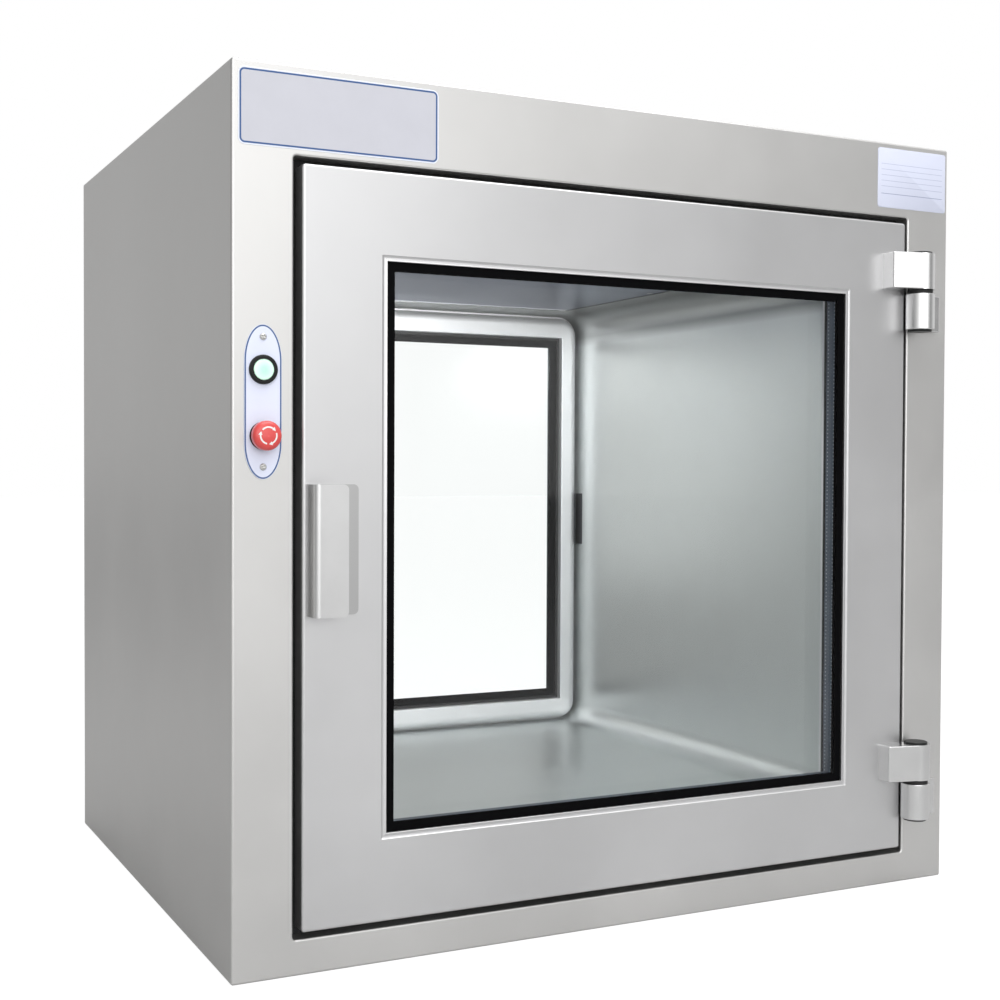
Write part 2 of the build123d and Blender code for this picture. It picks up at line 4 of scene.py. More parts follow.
import bmesh
import bpy
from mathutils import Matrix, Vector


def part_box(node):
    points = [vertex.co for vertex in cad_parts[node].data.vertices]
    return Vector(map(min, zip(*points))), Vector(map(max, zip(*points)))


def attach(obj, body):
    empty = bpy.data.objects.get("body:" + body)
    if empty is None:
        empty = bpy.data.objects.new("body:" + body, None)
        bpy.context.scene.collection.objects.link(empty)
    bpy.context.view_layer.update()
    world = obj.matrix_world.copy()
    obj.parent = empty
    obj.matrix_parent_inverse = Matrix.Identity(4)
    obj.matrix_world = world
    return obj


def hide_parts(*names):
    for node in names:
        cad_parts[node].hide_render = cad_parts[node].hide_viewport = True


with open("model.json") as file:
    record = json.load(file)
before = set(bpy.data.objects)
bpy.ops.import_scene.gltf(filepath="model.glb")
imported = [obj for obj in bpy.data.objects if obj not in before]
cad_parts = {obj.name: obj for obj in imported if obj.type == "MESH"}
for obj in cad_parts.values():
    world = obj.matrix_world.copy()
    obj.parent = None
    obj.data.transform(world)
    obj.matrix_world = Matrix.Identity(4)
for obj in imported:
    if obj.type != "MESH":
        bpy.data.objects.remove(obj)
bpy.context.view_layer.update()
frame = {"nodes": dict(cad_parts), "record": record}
nodes = frame["nodes"]
print("frame loaded with", len(nodes), "nodes")


class Wire:
    # one shader value: arithmetic on it adds Math nodes, or Vector Math nodes for a vector
    def __init__(self, paint, socket, vector=False):
        self.paint, self.socket, self.vector = paint, socket, vector

    def join(self, operation, first, second=None):
        vector = any(isinstance(value, Wire) and value.vector for value in (first, second))
        kind = "ShaderNodeVectorMath" if vector else "ShaderNodeMath"
        values = {0: first} if second is None else {0: first, 1: second}
        made = self.paint.node(kind, {"operation": operation}, values)
        return Wire(self.paint, made.outputs[0], vector)

    def __add__(self, other):
        return self.join("ADD", self, other)

    def __sub__(self, other):
        return self.join("SUBTRACT", self, other)

    def __rsub__(self, other):
        return self.join("SUBTRACT", other, self)

    def __mul__(self, other):
        return self.join("MULTIPLY", self, other)

    def __truediv__(self, other):
        return self.join("DIVIDE", self, other)

    def __pow__(self, other):
        return self.join("POWER", self, other)

    def __abs__(self):
        return self.join("ABSOLUTE", self)

    def __gt__(self, other):
        return self.join("GREATER_THAN", self, other)

    def __lt__(self, other):
        return self.join("LESS_THAN", self, other)

    def larger(self, other):
        return self.join("MAXIMUM", self, other)

    def smaller(self, other):
        return self.join("MINIMUM", self, other)

    def fraction(self):
        return self.join("FRACT", self)

    def angleFrom(self, other):
        return self.join("ARCTAN2", self, other)


class Paint:
    # node material or world: a node's settings go in first, then its sockets' values and links
    def __init__(self, name, world=False):
        self.block = bpy.data.worlds.new(name) if world else bpy.data.materials.new(name)
        self.block.use_nodes = True
        self.tree = self.block.node_tree
        self.tree.nodes.clear()
        kind = "ShaderNodeOutputWorld" if world else "ShaderNodeOutputMaterial"
        self.output = self.tree.nodes.new(kind)

    def node(self, kind, settings=None, values=None):
        made = self.tree.nodes.new(kind)
        for name, value in (settings or {}).items():
            if name == "stops":
                ramp = made.color_ramp
                ramp.interpolation = "LINEAR"
                while len(ramp.elements) < len(value):
                    ramp.elements.new(1.0)
                for element, (place, colour) in zip(ramp.elements, value):
                    element.position, element.color = place, colour
            else:
                setattr(made, name, value)
        for name, value in (values or {}).items():
            socket = made.inputs[name]
            if isinstance(value, Wire):
                self.tree.links.new(value.socket, socket)
            elif isinstance(value, bpy.types.NodeSocket):
                self.tree.links.new(value, socket)
            else:
                socket.default_value = value
        return made

    def place(self):
        # object coordinates are the row's metres, because every piece sits at the origin
        return Wire(self, self.node("ShaderNodeTexCoord").outputs["Object"], True)

    def split(self, vector):
        parts = self.node("ShaderNodeSeparateXYZ", values={"Vector": vector}).outputs
        return [Wire(self, part) for part in parts]

    def noise(self, scale, detail=3.0, rough=0.5, stretch=(1, 1, 1)):
        made = self.node("ShaderNodeTexNoise", {"noise_dimensions": "3D"},
                         {"Vector": self.place() * stretch, "Scale": scale, "Detail": detail,
                          "Roughness": rough})
        return Wire(self, made.outputs[0])

    def fade(self, value, low, high):
        # 0 below low and 1 above high
        made = self.node("ShaderNodeMapRange", {"clamp": True}, {
            "Value": value, "From Min": low, "From Max": high, "To Min": 0.0, "To Max": 1.0})
        return Wire(self, made.outputs[0])

    def blend(self, factor, first, second):
        made = self.node("ShaderNodeMix", {"data_type": "RGBA"}, {0: factor, 6: first, 7: second})
        return Wire(self, made.outputs[2], True)

    def mottle(self, noise, colour, low, high):
        # the colour made darker and lighter by a noise
        return self.blend(noise, shaded(colour, low), shaded(colour, high))

    def bump(self, height):
        made = self.node("ShaderNodeBump", values={"Height": height, "Distance": 1.0})
        return Wire(self, made.outputs[0])

    def finish(self, values):
        return self.close(self.node("ShaderNodeBsdfPrincipled", values=values))

    def close(self, made):
        self.tree.links.new(made.outputs[0], self.output.inputs["Surface"])
        return self.block


def rgb(red, green, blue):
    return (red, green, blue, 1.0)


def shaded(colour, amount):
    return rgb(*[min(part * amount, 1.0) for part in colour])


# stainless sheet, fine-blasted: matt, clouded by the blasting and by wiping
sheetSteel = {
    "cabinet": {"colour": (0.66, 0.655, 0.645), "roughness": 0.40, "cloud": 0.035},
    "frame": {"colour": (0.66, 0.655, 0.645), "roughness": 0.40, "cloud": 0.035},
    "door": {"colour": (0.645, 0.645, 0.65), "roughness": 0.38, "cloud": 0.035},
    "chamber": {"colour": (0.66, 0.69, 0.685), "roughness": 0.36, "cloud": 0.040},
    "pan": {"colour": (0.82, 0.82, 0.83), "roughness": 0.60, "cloud": 0.025},
    "ceiling": {"colour": (0.14, 0.165, 0.23), "roughness": 0.34, "cloud": 0.030},
    "cloudScale": 5.0,
    "smearScale": 2.2, "smearShare": 0.6,
    "mottleRange": 0.35, "mottleGloss": 0.16,
    "grainScale": 900.0, "grainDepth": 0.000014,
    "waveScale": 3.0, "waveDepth": 0.00022,    # slow waviness of thin sheet
    "ceilingShade": {"low": 0.646, "high": 0.660, "shade": 0.45},    # painted shade on the chamber sheet under its ceiling
    "lipHighlight": {"width": 0.010, "colour": (0.85, 0.85, 0.92)},   # painted highlight on the folded ends of the ceiling panel
}

# painted shadow: black, matt colour put on the sheet in the narrow gaps round the doors and round the ceiling
# panel, where only shade falls
gapShadow = {
    "colour": (0.02, 0.02, 0.02),
    "rougher": 0.4,
    "landPlace": 0.316,        # sealing land's distance from the middle of the cabinet
    "landDepth": 0.0008,
    "underDoor": 0.030,        # how far the painted shadow on the land reaches in under the door
    "panelEdge": 0.0025,       # painted shadow along the ceiling panel's sides
    "ledgeDepth": 0.0002,
}
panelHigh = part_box("ceiling_panel")[1]


def paintedSheetLight(paint, name, colour):
    # painted shade on the chamber sheet under its ceiling and a painted highlight on the ceiling panel's
    # folded ends
    x, y, z = paint.split(paint.place())
    if name == "chamber":
        # painted shade: the chamber sheet darker under its ceiling
        ceilingShade = sheetSteel["ceilingShade"]
        shadedUnderCeiling = shaded(sheetSteel[name]["colour"], ceilingShade["shade"])
        colour = paint.blend(paint.fade(z, ceilingShade["low"], ceilingShade["high"]), colour, shadedUnderCeiling)
    if name == "ceiling":
        # painted highlight on the ceiling panel's folded ends
        lipHighlight = sheetSteel["lipHighlight"]
        litLip = abs(y) > panelHigh.y - lipHighlight["width"]
        colour = paint.blend(litLip, colour, rgb(*lipHighlight["colour"]))
    return colour


def gapShadowPlace(paint, name):
    # 1 where painted shadow blackens the sheet in a narrow gap, or None for a sheet without any
    x, y, z = paint.split(paint.place())
    if name == "chamber":
        return z > panelHigh.z - gapShadow["ledgeDepth"]
    if name == "ceiling":
        return abs(x) > panelHigh.x - gapShadow["panelEdge"]
    if name == "frame":
        low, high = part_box("front_door_skin")
        beside = abs(x) - high.x
        beyond = abs(z - (high.z + low.z) / 2) - (high.z - low.z) / 2
        land = abs(abs(y) - gapShadow["landPlace"]) < gapShadow["landDepth"]
        return land * (beside.larger(beyond) > -gapShadow["underDoor"])
    return None


def satinSheet(name):
    finish = sheetSteel[name]
    paint = Paint(name + "SheetSteel")
    cloud = paint.noise(sheetSteel["cloudScale"], 4.0, 0.55)
    smear = paint.noise(sheetSteel["smearScale"], 3.0, 0.6, (1.0, 1.0, 0.35))
    mottle = (cloud - 0.5) + (smear - 0.5) * sheetSteel["smearShare"]
    colour = paint.mottle(paint.fade(mottle, -sheetSteel["mottleRange"], sheetSteel["mottleRange"]),
                          finish["colour"], 1 - 2 * finish["cloud"], 1 + 2 * finish["cloud"])
    colour = paintedSheetLight(paint, name, colour)
    roughness, metallic = mottle * sheetSteel["mottleGloss"] + finish["roughness"], 1.0
    shadowMask = gapShadowPlace(paint, name)
    # painted shadow in the gaps
    if shadowMask is not None:
        colour = paint.blend(shadowMask, colour, rgb(*gapShadow["colour"]))
        roughness, metallic = roughness + shadowMask * gapShadow["rougher"], 1.0 - shadowMask
    grain = paint.noise(sheetSteel["grainScale"], 2.0, 0.7)
    waves = paint.noise(sheetSteel["waveScale"], 1.0, 0.4)
    return paint.finish({
        "Base Color": colour, "Metallic": metallic, "Roughness": roughness,
        "Normal": paint.bump(grain * sheetSteel["grainDepth"] + waves * sheetSteel["waveDepth"])})


fittingSteel = {
    "handle": {"colour": (0.72, 0.72, 0.72), "roughness": 0.36},
    "hinge": {"colour": (0.76, 0.76, 0.76), "roughness": 0.25},
    "lineDepth": 0.000012, "lineScale": 700.0,
    "cloudScale": 30.0, "cloudGloss": 0.12,
    "footReach": 0.0035,       # thickness of the handle's foot, which gets painted shade behind its bent lip
    "footShade": 0.68,
}


def satinFitting(name):
    # handles and hinges: cast or bent steel, tumbled smooth
    finish = fittingSteel[name]
    paint = Paint(name + "Steel")
    lines = paint.noise(fittingSteel["lineScale"], 2.0, 0.6, (1.0, 1.0, 0.05))
    cloud = paint.noise(fittingSteel["cloudScale"], 3.0, 0.6)
    colour = paint.mottle(cloud, finish["colour"], 0.88, 1.0)
    if name == "handle":
        x, y, z = paint.split(paint.place())
        # painted shade on the handle's foot behind its lip
        foot = abs(y) < fittingSteel["footReach"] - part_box("front_door_skin")[0].y
        colour = paint.blend(foot, colour, shaded(finish["colour"], fittingSteel["footShade"]))
    gloss = fittingSteel["cloudGloss"]
    return paint.finish({
        "Base Color": colour, "Metallic": 1.0, "Roughness": cloud * gloss + (finish["roughness"] - gloss / 2),
        "Normal": paint.bump(lines * fittingSteel["lineDepth"])})


smallParts = {"markScale": 400.0, "markDepth": 0.00001, "grainScale": 1500.0, "wearScale": 60.0, "wear": 0.1}


def machinedSteel(name, colour, roughness):
    paint = Paint(name)
    marks = paint.noise(smallParts["markScale"], 2.0, 0.6)
    return paint.finish({
        "Base Color": paint.mottle(marks, colour, 0.88, 1.0), "Metallic": 1.0,
        "Roughness": marks * smallParts["wear"] + roughness,
        "Normal": paint.bump(marks * smallParts["markDepth"])})


def moulded(name, colour, roughness, speck=0.00001, coat=0.0, shine=0.5):
    paint = Paint(name)
    grain = paint.noise(smallParts["grainScale"], 2.0, 0.6)
    worn = paint.noise(smallParts["wearScale"], 3.0, 0.6)
    return paint.finish({
        "Base Color": paint.mottle(worn, colour, 0.88, 1.1),
        "Roughness": worn * smallParts["wear"] + (roughness - smallParts["wear"] / 2),
        "Coat Weight": coat, "Specular IOR Level": shine, "Normal": paint.bump(grain * speck)})


doorWindow = {
    "paneOverlap": 0.010,      # glass hidden behind the skin on each side
    "edgeBlur": 0.0002,
    # width of the black printed border of each pane
    "printed": {"front_outer_pane": 0.0085, "front_inner_pane": 0.0025, "rear_inner_pane": 0.014,
                "rear_outer_pane": 0.004},
    "shine": 0.32,             # share of the plain glass reflection that is kept
    "clear": (0.997, 1.0, 0.999), "inkDark": (0.001, 0.001, 0.0015), "inkPale": (0.003, 0.003, 0.0035),
}
paneLow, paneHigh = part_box("front_outer_pane")
windowHalfX = (paneHigh.x - paneLow.x) / 2 - doorWindow["paneOverlap"]
windowHalfZ = (paneHigh.z - paneLow.z) / 2 - doorWindow["paneOverlap"]
windowMiddle = (paneHigh.z + paneLow.z) / 2


def printedGlass(border):
    # clear glass with a black printed border
    paint = Paint("printedGlass")
    x, y, z = paint.split(paint.place())
    fromSide = abs(x) - (windowHalfX - border)
    fromEnd = abs(z - windowMiddle) - (windowHalfZ - border)
    printed = paint.fade(fromSide.larger(fromEnd), -doorWindow["edgeBlur"], doorWindow["edgeBlur"])
    clear = paint.node("ShaderNodeBsdfTransparent", values={"Color": rgb(*doorWindow["clear"])})
    shine = paint.node("ShaderNodeBsdfAnisotropic", values={"Color": rgb(1, 1, 1), "Roughness": 0.03})
    fresnel = Wire(paint, paint.node("ShaderNodeFresnel", values={"IOR": 1.45}).outputs[0])
    glass = paint.node("ShaderNodeMixShader", values={
        0: fresnel * doorWindow["shine"], 1: clear.outputs[0], 2: shine.outputs[0]})
    grain = paint.noise(200.0, 2.0, 0.5)
    ink = paint.node("ShaderNodeBsdfPrincipled", values={
        "Base Color": paint.blend(grain, rgb(*doorWindow["inkDark"]), rgb(*doorWindow["inkPale"])),
        "Roughness": 0.4, "Specular IOR Level": 0.04})
    return paint.close(paint.node("ShaderNodeMixShader", values={
        0: printed, 1: glass.outputs[0], 2: ink.outputs[0]}))


spacerBar = {
    "holePitch": 0.0042, "holeRadius": 0.0009, "rowInset": 0.0030, "dent": 0.0002,
    "holeFlat": 0.6,           # share of a hole's radius that is as deep as it gets
    "darker": (0.050, 0.065, 0.092), "lighter": (0.105, 0.130, 0.165), "hole": (0.42, 0.45, 0.50),
}


def perforatedSpacer():
    # dark anodised bar with a row of fine breathing holes near each pane
    paint = Paint("perforatedSpacer")
    low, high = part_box("front_window_spacer")
    middle, half = -(low.y + high.y) / 2, (high.y - low.y) / 2
    x, y, z = paint.split(paint.place())
    along = (z / spacerBar["holePitch"]).fraction() - 0.5
    across = abs(abs(y) - middle) - (half - spacerBar["rowInset"])
    squared = (along * spacerBar["holePitch"]) ** 2.0 + across ** 2.0
    flat = spacerBar["holeRadius"] * spacerBar["holeFlat"]
    dots = 1.0 - paint.fade(squared, flat ** 2, spacerBar["holeRadius"] ** 2)
    bar = paint.blend(paint.noise(25.0, 3.0, 0.6), rgb(*spacerBar["darker"]), rgb(*spacerBar["lighter"]))
    return paint.finish({
        "Base Color": paint.blend(dots, bar, rgb(*spacerBar["hole"])), "Metallic": 0.5, "Roughness": 0.45,
        "Normal": paint.bump(dots * -spacerBar["dent"])})


signalLens = {
    "middle": (0.44, 0.84, 0.64), "rim": (0.68, 0.98, 0.80), "glow": 0.20,
    "fadeFrom": 0.002, "fadeTo": 0.0085,       # distance from the lens's middle
    "rippleDepth": 0.00002,
}


def lampLens():
    # moulded lens, greener over the lamp behind its middle
    paint = Paint("lampLens")
    low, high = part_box("front_button_lens")
    x, y, z = paint.split(paint.place())
    fromMiddle = (abs(x) + (low.x + high.x) / 2) ** 2.0 + (z - (low.z + high.z) / 2) ** 2.0
    rim = paint.fade(fromMiddle ** 0.5, signalLens["fadeFrom"], signalLens["fadeTo"])
    ripple = paint.noise(300.0, 2.0, 0.5)
    shade = paint.blend(rim, rgb(*signalLens["middle"]), rgb(*signalLens["rim"]))
    return paint.finish({
        "Base Color": shade, "Roughness": 0.25, "Coat Weight": 0.4, "Emission Color": shade,
        "Emission Strength": signalLens["glow"], "Normal": paint.bump(ripple * signalLens["rippleDepth"])})


def filmGrain(paint, depth):
    # faint unevenness of printed film
    return paint.bump(paint.noise(900.0, 2.0, 0.5) * depth)


controlPlate = {
    "sheet": (0.75, 0.79, 0.94),
    "line": (0.045, 0.105, 0.27),
    "straight": 0.073,         # length of the straight sides
    "lineWidth": 0.0014, "lineInset": 0.0003, "lineBlur": 0.01,
    "roughness": 0.32, "wear": 0.08, "grainDepth": 0.000006,
}


def outlinedPlate():
    # printed film with a thin outline that follows the plate's edge
    paint = Paint("outlinedPlate")
    low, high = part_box("front_control_plate")
    x, y, z = paint.split(paint.place())
    sideways = abs(abs(x) + (low.x + high.x) / 2)
    endways = (abs(z - (low.z + high.z) / 2) - controlPlate["straight"] / 2).larger(0.0)
    halfWidth, bulge = (high.x - low.x) / 2, (high.z - low.z - controlPlate["straight"]) / 2

    def outside(inset):
        spread = (sideways / (halfWidth - inset)) ** 2.0 + (endways / (bulge - inset)) ** 2.0
        return paint.fade(spread, 1 - controlPlate["lineBlur"], 1 + controlPlate["lineBlur"])

    line = outside(controlPlate["lineInset"] + controlPlate["lineWidth"]) - outside(controlPlate["lineInset"])
    worn = paint.noise(90.0, 3.0, 0.6)
    film = paint.mottle(worn, controlPlate["sheet"], 0.97, 1.02)
    return paint.finish({
        "Base Color": paint.blend(line, film, rgb(*controlPlate["line"])),
        "Roughness": worn * controlPlate["wear"] + controlPlate["roughness"],
        "Normal": filmGrain(paint, controlPlate["grainDepth"])})


paneGlass = {paneName: printedGlass(border) for paneName, border in doorWindow["printed"].items()}
slotPaint = {
    "cabinet_steel": satinSheet("cabinet"),
    "door_steel": satinSheet("door"),
    "chamber_steel": satinSheet("chamber"),
    "fitting_steel": satinFitting("handle"),
    "screw_steel": machinedSteel("screwSteel", (0.66, 0.66, 0.64), 0.28),
    "bracket_steel": machinedSteel("zincSheet", (0.55, 0.56, 0.56), 0.4),
    "lock_iron": machinedSteel("lockIron", (0.10, 0.105, 0.11), 0.42),
    "window_glass": paneGlass["front_outer_pane"],
    "spacer_aluminium": perforatedSpacer(),
    "black_rubber": moulded("blackRubber", (0.010, 0.010, 0.010), 0.7, 0.00002),
    "black_plastic": moulded("blackPlastic", (0.010, 0.011, 0.011), 0.36, shine=0.22),
    "grey_plastic": moulded("greyPlastic", (0.45, 0.46, 0.47), 0.5),
    "green_lens": lampLens(),
    "red_plastic": moulded("redPlastic", (0.70, 0.068, 0.064), 0.30, 0.000004, 0.35),
    "panel_plate": outlinedPlate(),
}
for part in frame["record"]["subparts"]:
    mesh = nodes[part["node"]].data
    mesh.materials.clear()
    mesh.materials.append(slotPaint[part["material_slot"]])
frameSteel, panSteel = satinSheet("frame"), satinSheet("pan")
hingeSteel = satinFitting("hinge")
for sideName in ("front", "rear"):
    nodes[sideName + "_frame"].data.materials[0] = frameSteel
    nodes[sideName + "_door_pan"].data.materials[0] = panSteel
    for leaves in ("_hinge_frame_leaves", "_hinge_door_leaves"):
        nodes[sideName + leaves].data.materials[0] = hingeSteel
nodes["ceiling_panel"].data.materials[0] = satinSheet("ceiling")
for paneName, glass in paneGlass.items():
    nodes[paneName].data.materials[0] = glass
print("finishes done on", len(slotPaint), "slots")


sharpAngle = 35                # degrees between two faces that meet in a hard edge


def addPiece(name, build, material, body):
    # makes an object from a bmesh that build() fills in
    shape = bmesh.new()
    build(shape)
    bmesh.ops.recalc_face_normals(shape, faces=shape.faces)
    mesh = bpy.data.meshes.new(name)
    shape.to_mesh(mesh)
    shape.free()
    mesh.shade_smooth()
    mesh.set_sharp_from_angle(angle=math.radians(sharpAngle))
    mesh.materials.append(material)
    piece = bpy.data.objects.new(name, mesh)
    bpy.context.scene.collection.objects.link(piece)
    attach(piece, body)
    return piece


def roundedOutline(centreX, centreZ, halfX, halfZ, radius, steps=6):
    points = []
    for quarter, (wayX, wayZ) in enumerate([(1, 1), (-1, 1), (-1, -1), (1, -1)]):
        for step in range(steps + 1):
            angle = math.radians(90 * quarter + 90 * step / steps)
            points.append((centreX + wayX * (halfX - radius) + radius * math.cos(angle),
                           centreZ + wayZ * (halfZ - radius) + radius * math.sin(angle)))
    return points


def joinRings(shape, rings):
    # faces from each closed ring of points to the next one
    for ring, following in zip(rings, rings[1:]):
        for i in range(len(ring)):
            j = (i + 1) % len(ring)
            shape.faces.new((ring[i], ring[j], following[j], following[i]))


filmEdge = {"inset": 0.0002, "square": 0.6}    # the edge is square for this share of the thickness


def filmPlate(size, face):
    # thin film with a softened front edge
    def build(shape):
        layers = []
        thick = size["thickness"]
        for depth, inset in ((0.0, 0.0), (thick * filmEdge["square"], 0.0), (thick, filmEdge["inset"])):
            outline = roundedOutline(size["x"], size["z"], size["halfX"] - inset, size["halfZ"] - inset,
                                     size["corner"] - inset)
            layers.append([shape.verts.new((x, face - depth, z)) for x, z in outline])
        joinRings(shape, layers)
        shape.faces.new(layers[-1])
        shape.faces.new(layers[0][::-1])
    return build


def fromEdge(paint, size):
    # signed distance to the film's rounded edge, negative inside
    x, y, z = paint.split(paint.place())
    overX = abs(x - size["x"]) - (size["halfX"] - size["corner"])
    overZ = abs(z - size["z"]) - (size["halfZ"] - size["corner"])
    corner = (overX.larger(0.0) ** 2.0 + overZ.larger(0.0) ** 2.0) ** 0.5
    return corner + overX.larger(overZ).smaller(0.0) - size["corner"]


doorSkin = {
    "sheet": 0.0015,
    "edgeRadius": 0.0025,
    "cornerRadius": 0.003,
    "hem": 0.008,              # doubled sheet round the window
    "groove": 0.0055,          # width of the dished rim round the glass
    # rim's section from the glass outwards: share of its width, depth under the door's face
    "rim": [(0.0, 0.00075), (0.06, 0.00045), (0.16, 0.00065), (0.33, 0.00100), (0.51, 0.00120),
            (0.69, 0.00115), (0.84, 0.00085), (0.93, 0.00045), (1.0, 0.0)],
    "support": 0.0002,         # spacing of the extra points that keep the bends crisp
    "arcSteps": 8,
    "glassCorner": 0.0002, "faceCorner": 0.0005,   # window's corner radius at the glass and at the face
}


def skinSection(depth, glassDepth):
    # points round the folded sheet: distance out from the window, depth under the face, corner radius
    size, sheet, edge = doorSkin, doorSkin["sheet"], doorSkin["edgeRadius"]
    skinLow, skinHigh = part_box("front_door_skin")
    reach = (skinHigh.x - skinLow.x) / 2 - windowHalfX
    inner, outer = size["glassCorner"], size["faceCorner"]
    section = [(0.0, glassDepth, inner)]
    for share, under in size["rim"]:
        section.append((share * size["groove"], under, inner + (outer - inner) * share))
    section.append((size["groove"] + size["support"], 0.0, outer))
    section.append((reach - edge - size["support"], 0.0, size["cornerRadius"] - edge))
    for step in range(size["arcSteps"] + 1):
        angle = math.radians(90 * step / size["arcSteps"])
        out = edge * math.sin(angle)
        section.append((reach - edge + out, edge * (1 - math.cos(angle)), size["cornerRadius"] - edge + out))
    section.append((reach, edge + size["support"], size["cornerRadius"]))
    section.append((reach, depth, size["cornerRadius"]))
    section.append((reach - sheet, depth, size["cornerRadius"] - sheet))
    section.append((reach - sheet, sheet, size["cornerRadius"] - sheet))
    section.append((size["hem"], sheet, outer))
    section.append((size["hem"], glassDepth, outer))
    return section


def foldedSkin(side):
    # side is 1 for the front door and -1 for the rear one, which is turned half round
    skinLow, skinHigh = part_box("front_door_skin")
    face, depth = skinLow.y, skinHigh.y - skinLow.y

    def build(shape):
        rings = []
        for out, under, radius in skinSection(depth, paneLow.y - face):
            outline = roundedOutline(0.0, windowMiddle, windowHalfX + out, windowHalfZ + out, radius)
            rings.append([shape.verts.new((side * x, side * (face + under), z)) for x, z in outline])
        joinRings(shape, rings + rings[:1])
    return build


for side, sideName in ((1, "front"), (-1, "rear")):
    skin = addPiece(sideName + "DoorSkin", foldedSkin(side), slotPaint["door_steel"], sideName + "_door")
    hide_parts(sideName + "_door_skin")
print("doors done")


namePlate = {
    "x": -0.3145, "z": 0.7885, "halfX": 0.0975, "halfZ": 0.0345, "corner": 0.006, "thickness": 0.0004,
    "sheet": (0.56, 0.565, 0.62), "line": (0.020, 0.085, 0.26), "rim": (0.80, 0.84, 0.95),
    "lineWidth": 0.0016, "lineInset": 0.0013, "lineBlur": 0.0002,
    "roughness": 0.30, "wear": 0.08, "grainDepth": 0.000005,
}


def namePlateFilm():
    paint = Paint("namePlateFilm")
    edge = fromEdge(paint, namePlate)
    inset, half, blur = namePlate["lineInset"], namePlate["lineWidth"] / 2, namePlate["lineBlur"]
    line = 1.0 - paint.fade(abs(edge + (inset + half)), half - blur, half + blur)
    rim = paint.fade(edge, -inset, -inset + 2 * blur)
    worn = paint.noise(35.0, 3.0, 0.6)
    pale = paint.blend(rim, paint.mottle(worn, namePlate["sheet"], 0.96, 1.04), rgb(*namePlate["rim"]))
    return paint.finish({
        "Base Color": paint.blend(line, pale, rgb(*namePlate["line"])),
        "Roughness": worn * namePlate["wear"] + namePlate["roughness"],
        "Normal": filmGrain(paint, namePlate["grainDepth"])})


dataLabel = {
    "x": 0.3655, "z": 0.791, "halfX": 0.0490, "halfZ": 0.033, "corner": 0.003, "thickness": 0.0003,
    "paper": (0.62, 0.65, 0.78), "ink": (0.16, 0.20, 0.36), "margin": 0.005,
    "rowPitch": 0.0062, "rowWidth": 0.0005, "rowInk": 0.55, "rowsTop": 0.018, "rowsLow": -0.014,
    "footLine": -0.0175, "footWidth": 0.0006, "footInk": 0.9,
    "roughness": 0.38, "wear": 0.1, "grainDepth": 0.000005,
}


def ruledLabel():
    # blank form: a few ruled lines with nothing written on them
    paint = Paint("ruledLabel")
    x, y, z = paint.split(paint.place())
    height = z - dataLabel["z"]
    between = abs((height / dataLabel["rowPitch"]).fraction() - 0.5) * dataLabel["rowPitch"]
    ruled = (height > dataLabel["rowsLow"]) * (height < dataLabel["rowsTop"])
    rows = (between < dataLabel["rowWidth"] / 2) * ruled
    foot = abs(height - dataLabel["footLine"]) < dataLabel["footWidth"] / 2
    inside = abs(x - dataLabel["x"]) < (dataLabel["halfX"] - dataLabel["margin"])
    ink = (rows * dataLabel["rowInk"] + foot * dataLabel["footInk"]) * inside
    worn = paint.noise(50.0, 3.0, 0.6)
    paper = paint.mottle(worn, dataLabel["paper"], 0.97, 1.02)
    return paint.finish({
        "Base Color": paint.blend(ink, paper, rgb(*dataLabel["ink"])),
        "Roughness": worn * dataLabel["wear"] + dataLabel["roughness"],
        "Normal": filmGrain(paint, dataLabel["grainDepth"])})


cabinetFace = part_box("front_frame")[0].y
addPiece("namePlate", filmPlate(namePlate, cabinetFace), namePlateFilm(), "cabinet")
addPiece("dataLabel", filmPlate(dataLabel, cabinetFace), ruledLabel(), "cabinet")
print("plates done")


twistMarks = {
    "inner": 0.0068, "outer": 0.0082, "headInner": 0.0058, "headOuter": 0.0094, "count": 3, "sweep": 82,
    "headSweep": 24, "start": 18, "proud": 0.00012, "domeRadius": 0.0099, "domeRise": 0.0007,
    "colour": (0.86, 0.86, 0.84), "steps": 12, "headSteps": 6,
    "widening": 0.01,          # degrees over which the arc widens into its head
    "tipHalf": 0.00002, "sunk": 0.0001,
    "roughness": 0.32, "wear": 0.1,
}


def arrowStations(first):
    # turn, inner radius and outer radius along one arrow: an even arc, then a head that narrows to a tip
    marks, stations = twistMarks, []
    for step in range(marks["steps"] + 1):
        stations.append((first - step * marks["sweep"] / marks["steps"], marks["inner"], marks["outer"]))
    last, middle = stations[-1][0], (marks["inner"] + marks["outer"]) / 2
    for step in range(marks["headSteps"] + 1):
        spread = 1 - step / marks["headSteps"]
        stations.append((last - marks["widening"] - step * marks["headSweep"] / marks["headSteps"],
                         middle + (marks["headInner"] - middle) * spread - marks["tipHalf"],
                         middle + (marks["headOuter"] - middle) * spread + marks["tipHalf"]))
    return stations


